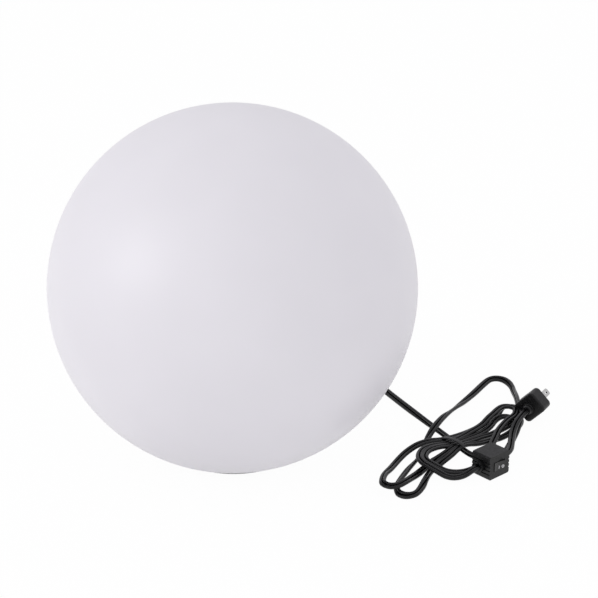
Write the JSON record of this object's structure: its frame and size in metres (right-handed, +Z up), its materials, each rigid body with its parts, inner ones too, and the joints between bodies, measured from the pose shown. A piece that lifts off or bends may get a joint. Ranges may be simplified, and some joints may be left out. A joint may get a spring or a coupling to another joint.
{
  "type": "garden globe light",
  "caption": "White opal globe light on a small round base, with a flat two-core cord tied in a hank, an in-line switch and a two-blade plug.",
  "frame": {"origin": "on the ground, under the middle of the base", "axes": "+Z up through the globe's middle, +Y to the back where the cord leaves the base, +X to the side where the hank lies"},
  "size_m": [0.4244, 0.312, 0.2927],
  "materials": {
    "globe": "satin opal",
    "base": "moulded",
    "rubber": "matt",
    "zinc": "zinc plated",
    "holder": "moulded",
    "brass": "bright",
    "cap": "rolled",
    "insulator": "glazed",
    "housing": "moulded",
    "board": "printed",
    "chips": "moulded",
    "diffuser": "frosted",
    "cord": "extruded",
    "wire_live": "extruded",
    "wire_neutral": "extruded",
    "switch": "moulded",
    "rocker": "moulded",
    "blade": "plated"
  },
  "bodies": {
    "base": {"base_pan": "base", "foot_pads": "rubber", "lamp_bracket": "zinc", "bracket_screws": "zinc", "holder_nipple": "zinc", "nipple_nuts": "zinc", "lampholder_base": "holder", "lampholder_body": "holder", "screw_shell": "brass", "centre_contact": "brass", "cord_bush": "rubber", "cord_inlet": "cord", "cord_clamp": "base", "clamp_screws": "zinc", "live_wire": "wire_live", "neutral_wire": "wire_neutral", "switch_front_shell": "switch", "switch_back_shell": "switch", "switch_screws": "zinc", "switch_contacts": "brass", "plug_body": "switch", "plug_blades": "blade", "plug_neck": "switch", "cord_lead": "cord", "cord_hank": "cord", "cord_tail": "cord", "cord_tie": "rubber"},
    "globe": {"globe_shell": "globe"},
    "globe_lift": {"globe_gasket": "rubber"},
    "bulb_lift": {"bulb_contact": "brass"},
    "bulb": {"bulb_insulator": "insulator", "bulb_cap": "cap", "bulb_housing": "housing", "led_board": "board", "led_chips": "chips", "bulb_diffuser": "diffuser"},
    "rocker": {"switch_rocker": "rocker"}
  },
  "joints": [
    {"name": "globe_rise", "type": "slide", "parent": "base", "child": "globe_lift", "axis": [0, 0, 1], "range_m": [0, 0.01201]},
    {"name": "globe_turn", "type": "hinge", "parent": "globe_lift", "child": "globe", "pos_m": [0, 0, 0.1], "axis": [0, 0, 1], "range_deg": [0, 120]},
    {"name": "bulb_rise", "type": "slide", "parent": "base", "child": "bulb_lift", "axis": [0, 0, 1], "range_m": [0, 0.01815]},
    {"name": "bulb_turn", "type": "hinge", "parent": "bulb_lift", "child": "bulb", "pos_m": [0, 0, 0.06], "axis": [0, 0, 1], "range_deg": [0, 1800]},
    {"name": "switch_rock", "type": "hinge", "parent": "base", "child": "rocker", "pos_m": [0.21411, -0.05398, 0.01025], "axis": [0, 0, 1], "range_deg": [0, 16]}
  ],
  "couplings": [
    {"joint": "globe_rise", "follows": "globe_turn", "m_per_rad": 0.0057296},
    {"joint": "bulb_rise", "follows": "bulb_turn", "m_per_rad": 0.00057751}
  ]
}
